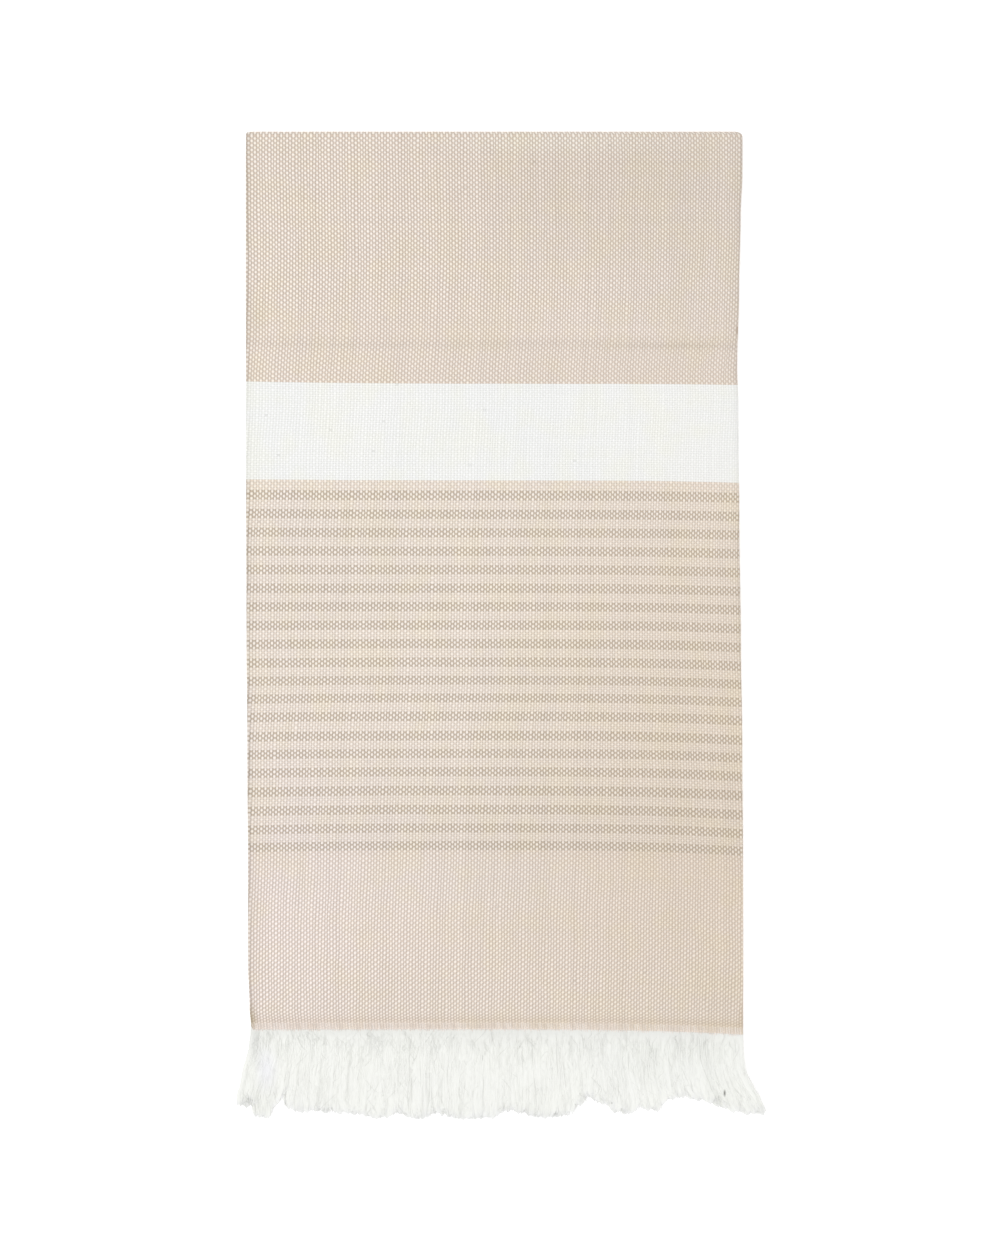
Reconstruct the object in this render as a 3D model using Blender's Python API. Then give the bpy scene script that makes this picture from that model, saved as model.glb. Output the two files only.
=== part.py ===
"""Hammam towel, hand size: one woven cloth with a stitched hem and a loose fringe at each end.

It is folded in two along its length, then in two across, and lies flat on its back half. The lengthwise
fold is its left edge, the crosswise fold its top edge, and both fringed ends lie together at the bottom.
X runs across the folded towel, Y up it, Z away from the floor. Units are metres.
"""

import math
import random

import bmesh
import bpy

# Cloth as it is woven and cut
CLOTH_WIDTH = 0.500  # selvedge to selvedge
CLOTH_LENGTH = 0.908  # hem edge to hem edge, fringes left out
CLOTH_THICK = 0.00115
HEM_DEPTH = 0.0055  # overlocked band at each end, part of the cloth
PIECE_GAP = 0.0003  # parts a fringe from its hem

# How it is folded
LAYER_GAP = 0.0004  # inside the lengthwise fold
HALF_GAP = 0.0007  # inside the crosswise fold
FOLDED_THICK = 2 * CLOTH_THICK + LAYER_GAP  # the two layers that the crosswise fold turns over
INNER_SHORT = 0.0012  # the inner selvedge stops this far inside the outer one
INNER_SHORT_WAVE = 0.0007
INNER_WAVES = 1.75  # waves of the inner selvedge along the whole cloth
UNDER_END_SHORT = 0.0016  # the lower hem stops this far above the one that shows

# Fringe: the cloth's own warp ends, as locks on a narrow strip
ROOT_DEPTH = 0.0025
LOCK_PITCH = 0.0050
LOCK_WIDTH = 0.0034
LOCK_TIP_WIDTH = 0.0017
LOCK_FOLD_CLEAR = 0.0013  # no lock grows out of the bend itself
LOCK_TIP_THICK = 0.0006
LOCK_ROWS = ((0.45, 0.86), (0.80, 0.70), (1.00, 0.00))  # share of its length, and how full it is there
LOCK_SWAY = 0.00035  # sideways wander of a lock
LOCK_UNEVEN = 0.0022  # how much shorter one lock is than the next
UNDER_LOCK_SHORT = 0.0030  # the hidden fringe stays inside the one that shows
CLUMP_PITCH = 0.0135  # tips draw together in clumps this far apart
CLUMP_DRAW = 0.0008
FRINGE_PRESSED = 0.62  # how flat the fringe lies at its tips, against the folded cloth
FRINGE_DROP = 0.024  # distance below the hem over which it comes down

# Rows of the mesh
FLAT_STEP = 0.026
LENGTHWISE_FOLD_STEPS = 6
CROSSWISE_FOLD_STEPS = 8

# Edges of the folded towel, moved inwards from a plain rectangle
EDGE_COLUMNS = ("down", "left_in", "right_in")
EDGE_ROWS = (
    (0.000, 0.0000, 0.0000),
    (0.020, 0.0000, 0.0000),
    (0.043, 0.0000, 0.0012),
    (0.080, 0.0000, 0.0020),
    (0.136, 0.0000, 0.0033),
    (0.197, 0.0000, 0.0023),
    (0.257, 0.0000, 0.0013),
    (0.308, 0.0000, 0.0000),
    (0.370, 0.0001, 0.0000),
    (0.421, 0.0010, 0.0000),
    (0.444, 0.0017, 0.0000),
    (0.454, 0.0030, 0.0000),
    (0.500, 0.0022, 0.0000),
)
CORNER_ROUND = {"left": 0.0007, "right": 0.0024}

# Fringe that fans out past the folded edges, by the distance below the hem
FAN_COLUMNS = ("below", "left_out", "right_out")
FAN_ROWS = (
    (0.000, 0.0000, 0.0000),
    (0.010, 0.0015, 0.0016),
    (0.020, 0.0040, 0.0034),
    (0.028, 0.0070, 0.0074),
    (0.035, 0.0094, 0.0116),
    (0.048, 0.0098, 0.0136),
)
FAN_FALL = 5  # how quickly the fan dies away from the edges

# Length of the fringe that shows, by the distance from the left edge
LENGTH_COLUMNS = ("across", "length")
LENGTH_ROWS = (
    (0.000, 0.0385),
    (0.007, 0.0440),
    (0.017, 0.0352),
    (0.029, 0.0424),
    (0.050, 0.0436),
    (0.084, 0.0455),
    (0.108, 0.0444),
    (0.132, 0.0408),
    (0.152, 0.0449),
    (0.172, 0.0342),
    (0.193, 0.0424),
    (0.222, 0.0334),
    (0.240, 0.0396),
    (0.250, 0.0420),
)

# Soft relief of the folded stack, as a share of its height
SWELL_COLUMNS = ("across", "down", "wide", "tall", "rise")
SWELL_ROWS = (
    (0.060, 0.060, 0.070, 0.040, 0.035),
    (0.190, 0.085, 0.060, 0.050, -0.030),
    (0.120, 0.150, 0.090, 0.035, 0.030),
    (0.215, 0.200, 0.040, 0.080, 0.045),
    (0.050, 0.255, 0.060, 0.070, -0.025),
    (0.150, 0.300, 0.080, 0.060, 0.025),
    (0.220, 0.360, 0.045, 0.070, 0.030),
    (0.060, 0.400, 0.070, 0.045, 0.030),
)
CREASE_DOWN = 0.1075  # storage crease across the whole towel
CREASE_WIDE = 0.0028
CREASE_DEPTH = 0.085
CREASE_RIDGE = 0.035  # the cloth stands up a little on the crease's lower side
CREASE_RIDGE_DOWN = 0.0062
CREASE_RIDGE_WIDE = 0.0056
CREASE_LINES = (-0.0056, -0.0028, 0.0, 0.0028, 0.0056, 0.0112)  # mesh rows round the crease
TOP_FOLD_FULL = 0.070
LEFT_FOLD_FULL = 0.050
FOLD_FULL_REACH = 0.014
HEM_FULL = 0.060
HEM_STEP = 0.0009  # length over which the hem rises from the cloth

# Sag of the weft rows at the edges of the panel, by the distance below the top fold
SAG_COLUMNS = ("down", "left", "right")
SAG_ROWS = (
    (0.000, 0.0000, 0.0000),
    (0.128, -0.0006, 0.0014),
    (0.177, 0.0000, 0.0020),
    (0.300, 0.0008, 0.0024),
    (0.363, 0.0013, 0.0027),
    (0.454, 0.0002, 0.0015),
)
SAG_FALL = 6  # how quickly the sag dies away from the edges

CLOTH_COLOUR = (0.74, 0.64, 0.53, 1.0)
FRINGE_COLOUR = (0.88, 0.88, 0.85, 1.0)


def clear_scene():
    for old in list(bpy.data.objects):
        bpy.data.objects.remove(old, do_unlink=True)


def table(columns, rows):
    return [dict(zip(columns, row, strict=True)) for row in rows]


EDGES = table(EDGE_COLUMNS, EDGE_ROWS)
FANS = table(FAN_COLUMNS, FAN_ROWS)
LENGTHS = table(LENGTH_COLUMNS, LENGTH_ROWS)
SWELLS = table(SWELL_COLUMNS, SWELL_ROWS)
SAGS = table(SAG_COLUMNS, SAG_ROWS)


def ease(share):
    """0 to 1 with level ends."""
    share = min(max(share, 0.0), 1.0)
    return share * share * (3.0 - 2.0 * share)


def read_between(rows, key, place, column):
    """The value of a column at a place between two rows, with an eased run from row to row."""
    if place <= rows[0][key]:
        return rows[0][column]
    for before, after in zip(rows, rows[1:], strict=False):
        if place <= after[key]:
            share = ease((place - before[key]) / (after[key] - before[key]))
            return before[column] + share * (after[column] - before[column])
    return rows[-1][column]


def bell(distance, width):
    return math.exp(-((distance / width) ** 2))


def fold_axis(thick, gap):
    """Height of the line that a slab of this thickness is folded round."""
    return thick + gap / 2


def fold_reach(thick, gap):
    """How far the bend reaches on each side of the fold line, along the slab."""
    return math.pi * (fold_axis(thick, gap) - thick / 2) / 2


def fold_over(along, height, thick, gap):
    """Folds a slab in two over the line along = 0, with its underside outside.

    Returns how far in from the fold the point then lies, and its new height.
    """
    axis = fold_axis(thick, gap)
    reach = fold_reach(thick, gap)
    radius = axis - height
    if along < -reach:
        return -along - reach, height
    if along > reach:
        return along - reach, axis + radius
    angle = math.pi * (along + reach) / (2 * reach)
    return -radius * math.sin(angle), axis - radius * math.cos(angle)


LENGTHWISE = (CLOTH_THICK, LAYER_GAP)
CROSSWISE = (FOLDED_THICK, HALF_GAP)
PANEL_LEFT = -fold_axis(*LENGTHWISE)
PANEL_WIDTH = CLOTH_WIDTH / 2 - fold_reach(*LENGTHWISE) - PANEL_LEFT
PANEL_TOP = fold_axis(*CROSSWISE)
PANEL_DOWN = CLOTH_LENGTH / 2 - fold_reach(*CROSSWISE) + PANEL_TOP


def uneven_cut(across, along):
    """The inner half is a little narrower, and the under half a little shorter, as folded by hand."""
    inner = ease(-across / (CLOTH_WIDTH / 2))
    wave = INNER_SHORT_WAVE * math.sin(2 * math.pi * INNER_WAVES * along / CLOTH_LENGTH)
    across += inner * (INNER_SHORT + wave)
    under = ease(-along / (CLOTH_LENGTH / 2))
    along += under * UNDER_END_SHORT
    return across, along


def relief(across, down):
    """Share by which the stack stands higher or lower than its plain height."""
    rise = sum(
        row["rise"] * bell(across - row["across"], row["wide"]) * bell(down - row["down"], row["tall"])
        for row in SWELLS
    )
    rise -= CREASE_DEPTH * bell(down - CREASE_DOWN, CREASE_WIDE)
    rise += CREASE_RIDGE * bell(down - CREASE_DOWN - CREASE_RIDGE_DOWN, CREASE_RIDGE_WIDE)
    rise += TOP_FOLD_FULL * bell(down, FOLD_FULL_REACH)
    rise += LEFT_FOLD_FULL * bell(across, FOLD_FULL_REACH)
    if down > PANEL_DOWN - HEM_DEPTH:
        rise += HEM_FULL
    return rise


def corner_inset(down, radius):
    """How far a rounded corner of this radius draws the edge in, this far below the top fold."""
    short = max(radius - down, 0.0)
    return radius - math.sqrt(max(radius**2 - short**2, 0.0))


def lie(point):
    """Takes a point of the flat cloth to its place in the folded towel.

    across runs from the inner selvedge (negative) over the lengthwise fold to the outer one, along from
    the under end (negative) over the crosswise fold to the end that shows, height through the cloth.
    """
    across, along, height = point
    across, along = uneven_cut(across, along)
    inward, stack_height = fold_over(-across, height, *LENGTHWISE)
    below_fold, lift = fold_over(along, stack_height, *CROSSWISE)

    across_panel = inward - PANEL_LEFT
    down = below_fold + PANEL_TOP
    share = min(max(across_panel / PANEL_WIDTH, 0.0), 1.0)
    left_in = read_between(EDGES, "down", down, "left_in") + corner_inset(down, CORNER_ROUND["left"])
    right_in = read_between(EDGES, "down", down, "right_in") + corner_inset(down, CORNER_ROUND["right"])
    x = across_panel + (1 - share) ** 2 * left_in - share**2 * right_in

    y = -down - read_between(SAGS, "down", down, "right") * share**SAG_FALL
    y -= read_between(SAGS, "down", down, "left") * (1 - share) ** SAG_FALL

    below_hem = max(down - PANEL_DOWN, 0.0)
    x -= read_between(FANS, "below", below_hem, "left_out") * (1 - share) ** FAN_FALL
    x += read_between(FANS, "below", below_hem, "right_out") * share**FAN_FALL
    clumped = ease(below_hem / FANS[-1]["below"])
    x -= CLUMP_DRAW * clumped * math.sin(2 * math.pi * across_panel / CLUMP_PITCH)
    pressed = 1 - (1 - FRINGE_PRESSED) * ease(below_hem / FRINGE_DROP)
    z = lift * (1 + relief(across_panel, down)) * pressed
    return x, y, z


def fold_lines(thick, gap, steps):
    reach = fold_reach(thick, gap)
    return [reach * (2 * i / steps - 1) for i in range(steps + 1)]


def flat_lines(start, end, step):
    count = max(round((end - start) / step), 1)
    return [start + (end - start) * i / count for i in range(1, count + 1)]


def cut_sheet(width, low, high, across_lines, along_lines):
    """A flat sheet, cut into cells along the lines given."""
    sheet = bmesh.new()
    bmesh.ops.create_grid(sheet, x_segments=1, y_segments=1, size=0.5)
    bmesh.ops.scale(sheet, vec=(width, high - low, 1.0), verts=sheet.verts)
    bmesh.ops.translate(sheet, vec=(0.0, (high + low) / 2, 0.0), verts=sheet.verts)
    for axis, lines in (((1, 0, 0), across_lines), ((0, 1, 0), along_lines)):
        for line in lines:
            everything = sheet.verts[:] + sheet.edges[:] + sheet.faces[:]
            place = tuple(line * part for part in axis)
            bmesh.ops.bisect_plane(sheet, geom=everything, dist=1e-6, plane_co=place, plane_no=axis)
    return sheet


def thicken(sheet):
    """Gives the flat sheet its thickness, from height 0 up."""
    bmesh.ops.solidify(sheet, geom=sheet.faces[:], thickness=CLOTH_THICK)
    lowest = min(vert.co.z for vert in sheet.verts)
    bmesh.ops.translate(sheet, vec=(0.0, 0.0, -lowest), verts=sheet.verts)
    bmesh.ops.recalc_face_normals(sheet, faces=sheet.faces[:])


def fabric(name, colour):
    material = bpy.data.materials.new(name)
    material.use_nodes = True
    shader = material.node_tree.nodes["Principled BSDF"]
    shader.inputs["Base Color"].default_value = colour
    shader.inputs["Roughness"].default_value = 0.9
    shader.inputs["Metallic"].default_value = 0.0
    return material


def lay(name, sheet, material):
    """Folds a finished sheet, lays it down and makes it an object."""
    for vert in sheet.verts:
        vert.co = lie(vert.co)
    mesh = bpy.data.meshes.new(name)
    sheet.to_mesh(mesh)
    sheet.free()
    mesh.materials.append(material)
    mesh.shade_smooth()
    mesh.set_sharp_from_angle(angle=math.radians(50))
    towel_part = bpy.data.objects.new(name, mesh)
    bpy.context.scene.collection.objects.link(towel_part)
    return towel_part


def along_at(down):
    """Length along the cloth from the crosswise fold to this far below the top edge."""
    return down - PANEL_TOP + fold_reach(*CROSSWISE)


def make_cloth():
    fold_edge = fold_reach(*LENGTHWISE)
    side_lines = flat_lines(fold_edge, CLOTH_WIDTH / 2, FLAT_STEP)[:-1]
    across_lines = [-line for line in side_lines] + side_lines
    across_lines += fold_lines(*LENGTHWISE, LENGTHWISE_FOLD_STEPS)

    crease_lines = [along_at(CREASE_DOWN + place) for place in CREASE_LINES]
    hem_top = CLOTH_LENGTH / 2 - HEM_DEPTH
    length_lines = flat_lines(fold_reach(*CROSSWISE), crease_lines[0], FLAT_STEP) + crease_lines[1:]
    length_lines += flat_lines(crease_lines[-1], hem_top - HEM_STEP, FLAT_STEP) + [hem_top]
    along_lines = [-line for line in length_lines] + length_lines
    along_lines += fold_lines(*CROSSWISE, CROSSWISE_FOLD_STEPS)

    sheet = cut_sheet(CLOTH_WIDTH, -CLOTH_LENGTH / 2, CLOTH_LENGTH / 2, across_lines, along_lines)
    thicken(sheet)
    return lay("towel_cloth", sheet, fabric("cloth_beige", CLOTH_COLOUR))


def lock_places():
    """Both sides of each lock's root on the flat cloth. The inner row lies between the outer row's locks."""
    clear = fold_reach(*LENGTHWISE) + LOCK_FOLD_CLEAR
    count = int((CLOTH_WIDTH / 2 - clear) / LOCK_PITCH)
    places = []
    for side, shift in ((1, 0.0), (-1, LOCK_PITCH / 2)):
        for i in range(count):
            middle = side * (CLOTH_WIDTH / 2 - LOCK_PITCH * (i + 0.5) - shift)
            if abs(middle) - LOCK_WIDTH / 2 > clear:
                places.append((middle - LOCK_WIDTH / 2, middle + LOCK_WIDTH / 2))
    return sorted(places)


def grow_lock(sheet, root, direction, shorter, chance):
    """Draws one lock out of its root face: it thins and narrows to its tip, and lies on its outer side."""
    middle = root.calc_center_median()
    across_panel = abs(middle.x) - fold_reach(*LENGTHWISE) - PANEL_LEFT
    length = read_between(LENGTHS, "across", across_panel, "length") - ROOT_DEPTH
    length -= shorter + chance.uniform(0.0, LOCK_UNEVEN)
    face = root
    for reached, filled in LOCK_ROWS:
        face = bmesh.ops.extrude_discrete_faces(sheet, faces=[face])["faces"][0]
        behind = face.calc_center_median()
        sway = chance.uniform(-LOCK_SWAY, LOCK_SWAY)
        width = LOCK_TIP_WIDTH + (LOCK_WIDTH - LOCK_TIP_WIDTH) * filled
        thick = LOCK_TIP_THICK + (CLOTH_THICK - LOCK_TIP_THICK) * filled
        for vert in face.verts:
            vert.co = (
                middle.x + sway + math.copysign(width / 2, vert.co.x - behind.x),
                middle.y + direction * length * reached,
                thick if vert.co.z > behind.z else 0.0,
            )


def make_fringe(name, end, shorter, seed):
    """The warp ends of one end of the cloth: end is 1 for the end that shows and -1 for the one under it."""
    chance = random.Random(seed)
    hem_edge = CLOTH_LENGTH / 2 + PIECE_GAP
    low, high = sorted((end * hem_edge, end * (hem_edge + ROOT_DEPTH)))
    places = lock_places()
    across_lines = [side for place in places for side in place]
    across_lines += fold_lines(*LENGTHWISE, LENGTHWISE_FOLD_STEPS)
    sheet = cut_sheet(CLOTH_WIDTH, low, high, across_lines, [])
    thicken(sheet)

    outer_edge = end * (hem_edge + ROOT_DEPTH)
    rim = [face for face in sheet.faces if all(abs(vert.co.y - outer_edge) < 1e-6 for vert in face.verts)]
    middles = [(left + right) / 2 for left, right in places]
    roots = [min(rim, key=lambda face: abs(face.calc_center_median().x - middle)) for middle in middles]
    for root in roots:
        grow_lock(sheet, root, end, shorter, chance)
    bmesh.ops.recalc_face_normals(sheet, faces=sheet.faces[:])
    return lay(name, sheet, fabric(f"{name}_cotton", FRINGE_COLOUR))


def centre(parts):
    """Puts the middle of the towel's box over the origin, with its underside on the floor."""
    corners = [vert.co for part in parts for vert in part.data.vertices]
    middle_x = (min(c.x for c in corners) + max(c.x for c in corners)) / 2
    middle_y = (min(c.y for c in corners) + max(c.y for c in corners)) / 2
    for part in parts:
        for vert in part.data.vertices:
            vert.co.x -= middle_x
            vert.co.y -= middle_y


clear_scene()
centre(
    [
        make_cloth(),
        make_fringe("fringe_upper_end", 1, 0.0, 11),
        make_fringe("fringe_under_end", -1, UNDER_LOCK_SHORT, 12),
    ]
)
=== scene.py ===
# Folded hammam towel: woven cloth, overlocked hems and loose fringes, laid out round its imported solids.
import math
import random

import bmesh
import bpy
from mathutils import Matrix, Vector, noise


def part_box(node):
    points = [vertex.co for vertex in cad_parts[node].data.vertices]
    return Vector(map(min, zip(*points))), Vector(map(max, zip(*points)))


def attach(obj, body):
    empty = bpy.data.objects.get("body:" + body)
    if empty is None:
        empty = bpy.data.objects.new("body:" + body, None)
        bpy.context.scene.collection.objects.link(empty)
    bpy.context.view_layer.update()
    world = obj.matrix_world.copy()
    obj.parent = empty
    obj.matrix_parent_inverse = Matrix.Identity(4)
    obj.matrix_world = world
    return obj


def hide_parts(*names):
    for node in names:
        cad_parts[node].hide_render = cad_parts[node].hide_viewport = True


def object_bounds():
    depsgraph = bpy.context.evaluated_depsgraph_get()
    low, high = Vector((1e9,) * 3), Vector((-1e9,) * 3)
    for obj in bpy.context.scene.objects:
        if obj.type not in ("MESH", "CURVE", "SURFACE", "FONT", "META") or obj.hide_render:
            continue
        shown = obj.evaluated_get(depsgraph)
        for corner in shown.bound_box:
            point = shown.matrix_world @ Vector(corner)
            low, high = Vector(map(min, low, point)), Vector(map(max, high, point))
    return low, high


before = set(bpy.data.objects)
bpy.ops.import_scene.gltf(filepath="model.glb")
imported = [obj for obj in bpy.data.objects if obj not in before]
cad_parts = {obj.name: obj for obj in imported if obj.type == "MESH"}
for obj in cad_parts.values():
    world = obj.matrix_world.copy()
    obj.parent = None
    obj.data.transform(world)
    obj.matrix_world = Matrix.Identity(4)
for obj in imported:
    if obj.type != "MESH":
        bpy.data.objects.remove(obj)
solidLow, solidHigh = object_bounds()
clothLow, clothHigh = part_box("towel_cloth")
print("frame loaded:", ", ".join(sorted(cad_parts)))

photo = {"width": 1000, "height": 1250, "metresPerPixel": 0.0005056, "middle": (499.6, 624.9)}

# how the towel is cut and folded
cloth = {
    "width": 0.5,  # selvedge to selvedge
    "length": 0.908,  # hem edge to hem edge
    "thick": 0.00115,
    "layerGap": 0.0004,  # inside the lengthwise fold
    "halfGap": 0.0007,  # inside the crosswise fold
    "innerShort": 0.0012,  # the inner selvedge stops inside the outer one
    "innerWave": 0.0007,
    "innerWaves": 1.75,
    "underShort": 0.0016,  # the lower hem stops above the one that shows
    "hem": 0.0055,
    "fineAcross": 0.003,  # mesh step where the cloth shows
    "fineAlong": 0.0025,
    "coarse": 0.0085,  # mesh step where it is hidden
    "finest": 0.0011,  # mesh step beside the lengthwise fold and the storage crease
    "fineHem": 0.0013,
    "leastStep": 0.0001,
    "sideFoldSteps": 12,
    "topFoldSteps": 16,
    "thinEdge": 0.42,  # how much thinner the very edge is
    "thinReach": 0.0006,
}
halfWidth, halfLength = cloth["width"] / 2, cloth["length"] / 2
rim = (0, 0.0003, 0.0007, 0.0013, 0.0022)  # mesh lines inside each cut edge


def inMetres(*rows):  # from rows of millimetres
    return [[value / 1000 for value in row] for row in rows]


edgeRows = inMetres(  # distance below the top fold, then how far the left and right edges lie inwards
    (0, -0.2, -1), (20, -0.3, -1), (43, -0.3, -0.1),
    (80, -0.3, 0.7), (120, -0.2, 1.7), (136, -0.2, 1),
    (197, -0.1, 0.6), (257, 0.1, -0.2), (308, 0.5, -0.9),
    (370, 0.8, -1.3), (421, 0.9, -1.4), (444, 1.7, -1.3),
    (454, 2.6, -1.3), (500, 2, -1.3),
)
sagRows = inMetres(  # distance below the top fold, then how far the rows sag at the left and right edges
    (0, 0, 0), (128, -1.3, 0.6), (177, -0.5, 1.2),
    (300, 0.8, 2.4), (363, 1.3, 3.1), (454, 0.2, 2.8),
)
fanRows = inMetres(  # distance below the hem, then how far the fringe fans out to the left and right
    (0, 0, 0), (10, 1, 0.3), (16, 2.4, 1),
    (22, 4.4, 2.6), (28, 5.2, 6), (34, 7, 9.6),
    (40, 7.4, 12.6), (48, 7.8, 13),
)
swells = inMetres(  # across, down, wide, tall, and rise in thousandths of the stack
    (60, 60, 70, 40, 35), (190, 85, 60, 50, -30), (120, 150, 90, 35, 30), (215, 200, 40, 80, 45),
    (50, 255, 60, 70, -25), (150, 300, 80, 60, 25), (220, 360, 45, 70, 30), (60, 400, 70, 45, 30),
)
shape = {
    "cornerLeft": 0.0007,
    "cornerRight": 0.0034,
    "sagFall": 6,
    "fanFall": 5,
    "creaseDown": 0.107,  # storage crease across the whole towel
    "creaseWide": 0.0028,
    "creaseDepth": 0.056,
    "ridgeDown": 0.0062,
    "ridgeWide": 0.0056,
    "ridgeRise": 0.035,
    "topFull": 0.07,  # fuller along the top fold
    "fullReach": 0.014,
    "sideFall": 0.11,  # pressed thinner along the lengthwise fold
    "fallReach": 0.0048,
    "soft": 0.03,  # gentle waves all over
    "softPer": (26.0, 19.0),  # noise cells a metre
    "hemFull": 0.06,
    "hemStep": 0.0009,
    "fringePressed": 0.62,  # how flat the fringe lies at its tips
    "fringeDrop": 0.024,
}


def ease(share):
    share = min(max(share, 0), 1)
    return share * share * (3.0 - 2.0 * share)


def bell(distance, width):
    return math.exp(-((distance / width) ** 2))


def readBetween(rows, place, column):  # eased from row to row
    if place <= rows[0][0]:
        return rows[0][column]
    for before, after in zip(rows, rows[1:]):
        if place <= after[0]:
            share = ease((place - before[0]) / (after[0] - before[0]))
            return before[column] + share * (after[column] - before[column])
    return rows[-1][column]


def foldAxis(thick, gap):
    return thick + gap / 2


def foldReach(thick, gap):  # length of the bend on each side of the fold line
    return math.pi * (foldAxis(thick, gap) - thick / 2) / 2


def foldOver(along, height, thick, gap):  # folds a slab in two, its underside outside
    axis = foldAxis(thick, gap)
    reach = foldReach(thick, gap)
    radius = axis - height
    if along < -reach:
        return -along - reach, height
    if along > reach:
        return along - reach, axis + radius
    angle = math.pi * (along + reach) / (2 * reach)
    return -radius * math.sin(angle), axis - radius * math.cos(angle)


sideFold = (cloth["thick"], cloth["layerGap"])
topFold = (2 * cloth["thick"] + cloth["layerGap"], cloth["halfGap"])
sideReach, topReach = foldReach(*sideFold), foldReach(*topFold)
panelLeft = -foldAxis(*sideFold)
panelWidth = halfWidth - sideReach - panelLeft
panelTop = foldAxis(*topFold)
panelDown = halfLength - topReach + panelTop
alongFromDown = topReach - panelTop  # length along the cloth = distance below the top + this


def relief(across, down):  # how much higher or lower the stack stands, as a share
    rise = sum(row[4] * bell(across - row[0], row[2]) * bell(down - row[1], row[3]) for row in swells)
    rise -= shape["creaseDepth"] * bell(down - shape["creaseDown"], shape["creaseWide"])
    rise += shape["ridgeRise"] * bell(down - shape["creaseDown"] - shape["ridgeDown"], shape["ridgeWide"])
    rise += shape["topFull"] * bell(down, shape["fullReach"])
    rise -= shape["sideFall"] * bell(across, shape["fallReach"])
    rise += shape["soft"] * noise.noise((across * shape["softPer"][0], down * shape["softPer"][1], 4.0))
    return rise + shape["hemFull"] * ease((down - panelDown + cloth["hem"]) / shape["hemStep"])


def cornerInset(down, radius):
    short = max(radius - down, 0)
    return radius - math.sqrt(max(radius**2 - short**2, 0))


def fanOut(share, belowHem):  # how far to the right the fringe has spread there
    left, right = (readBetween(fanRows, belowHem, column) for column in (1, 2))
    return right * share ** shape["fanFall"] - left * (1 - share) ** shape["fanFall"]


def lie(across, along, height):
    # from the flat cloth to the folded towel: across > 0 is the half that shows, along > 0 its upper end
    across += ease(-across / halfWidth) * (
        cloth["innerShort"]
        + cloth["innerWave"] * math.sin(math.tau * cloth["innerWaves"] * along / cloth["length"])
    )
    along += ease(-along / halfLength) * cloth["underShort"]
    inward, stackHeight = foldOver(-across, height, *sideFold)
    belowFold, lift = foldOver(along, stackHeight, *topFold)

    acrossPanel = inward - panelLeft
    down = belowFold + panelTop
    share = min(max(acrossPanel / panelWidth, 0), 1)
    leftIn = readBetween(edgeRows, down, 1) + cornerInset(down, shape["cornerLeft"])
    rightIn = readBetween(edgeRows, down, 2) + cornerInset(down, shape["cornerRight"])
    x = acrossPanel + (1 - share) ** 2 * leftIn - share**2 * rightIn
    y = -down - readBetween(sagRows, down, 2) * share ** shape["sagFall"]
    y -= readBetween(sagRows, down, 1) * (1 - share) ** shape["sagFall"]

    belowHem = max(down - panelDown, 0)
    x += fanOut(share, belowHem)
    pressed = 1 - (1 - shape["fringePressed"]) * ease(belowHem / shape["fringeDrop"])
    z = lift * (1 + relief(acrossPanel, down)) * pressed
    return Vector((clothLow.x + x, clothHigh.y + y, z))


# shader wires
def operator(operation, reflected=False):
    def apply(wire, *others):
        return wire.math(operation, *((*others, wire) if reflected else (wire, *others)))

    return apply


class Wire:
    # an output socket, so that shader maths reads as plain expressions
    def __init__(self, tree, socket=None):
        self.tree = tree
        self.socket = socket

    def node(self, kind, settings=None, sockets=None, out=0):
        made = self.tree.nodes.new("ShaderNode" + kind)
        for name, value in (settings or {}).items():
            setattr(made, name, value)
        for name, value in (sockets or {}).items():
            if isinstance(value, Wire):
                self.tree.links.new(value.socket, made.inputs[name])
            else:
                made.inputs[name].default_value = value
        return Wire(self.tree, made.outputs[out])

    def math(self, operation, *values):
        return self.node("Math", {"operation": operation}, dict(enumerate(values)))

    __add__ = __radd__ = operator("ADD")
    __sub__ = operator("SUBTRACT")
    __rsub__ = operator("SUBTRACT", reflected=True)
    __mul__ = __rmul__ = operator("MULTIPLY")
    __truediv__ = operator("DIVIDE")
    __gt__ = operator("GREATER_THAN")
    __lt__ = operator("LESS_THAN")
    __abs__ = operator("ABSOLUTE")
    round = operator("ROUND")

    def cosine(self):
        return self.math("COSINE", self * math.pi)

    def sine(self):
        return self.math("SINE", self * math.pi)

    def remap(self, low, high, newLow=0, newHigh=1):  # eased and clamped
        values = {"Value": self, "From Min": low, "From Max": high, "To Min": newLow, "To Max": newHigh}
        return self.node("MapRange", {"interpolation_type": "SMOOTHSTEP"}, values)

    def vector(self, x, y=0, z=0):
        return self.node("CombineXYZ", {}, {"X": x, "Y": y, "Z": z})

    def part(self, axis):
        return self.node("SeparateXYZ", {}, {"Vector": self}, axis)

    def attribute(self, name, out):
        return self.node("Attribute", {"attribute_name": name}, out=out)

    def noise(self, place, scale, detail=2.0):
        return self.node("TexNoise", {}, {"Vector": place, "Scale": scale, "Detail": detail})

    def chance(self, place):  # an even random number for each whole place
        return self.node("TexWhiteNoise", {}, {"Vector": place})

    def mixed(self, share, first, second, kind="MIX"):
        settings = {"data_type": "RGBA", "blend_type": kind}
        return self.node("Mix", settings, {0: share, 6: first, 7: second}, 2)

    def blend(self, first, second):  # this wire mixes two colours
        return self.mixed(self, first, second)

    def scaled(self, colour):  # this wire brightens or darkens a colour
        return self.node("VectorMath", {"operation": "SCALE"}, {0: colour, "Scale": self})

    def tinted(self, colour, tint):  # this wire lays a tint over a colour
        return self.mixed(self, colour, (*tint, 1), "MULTIPLY")


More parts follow.
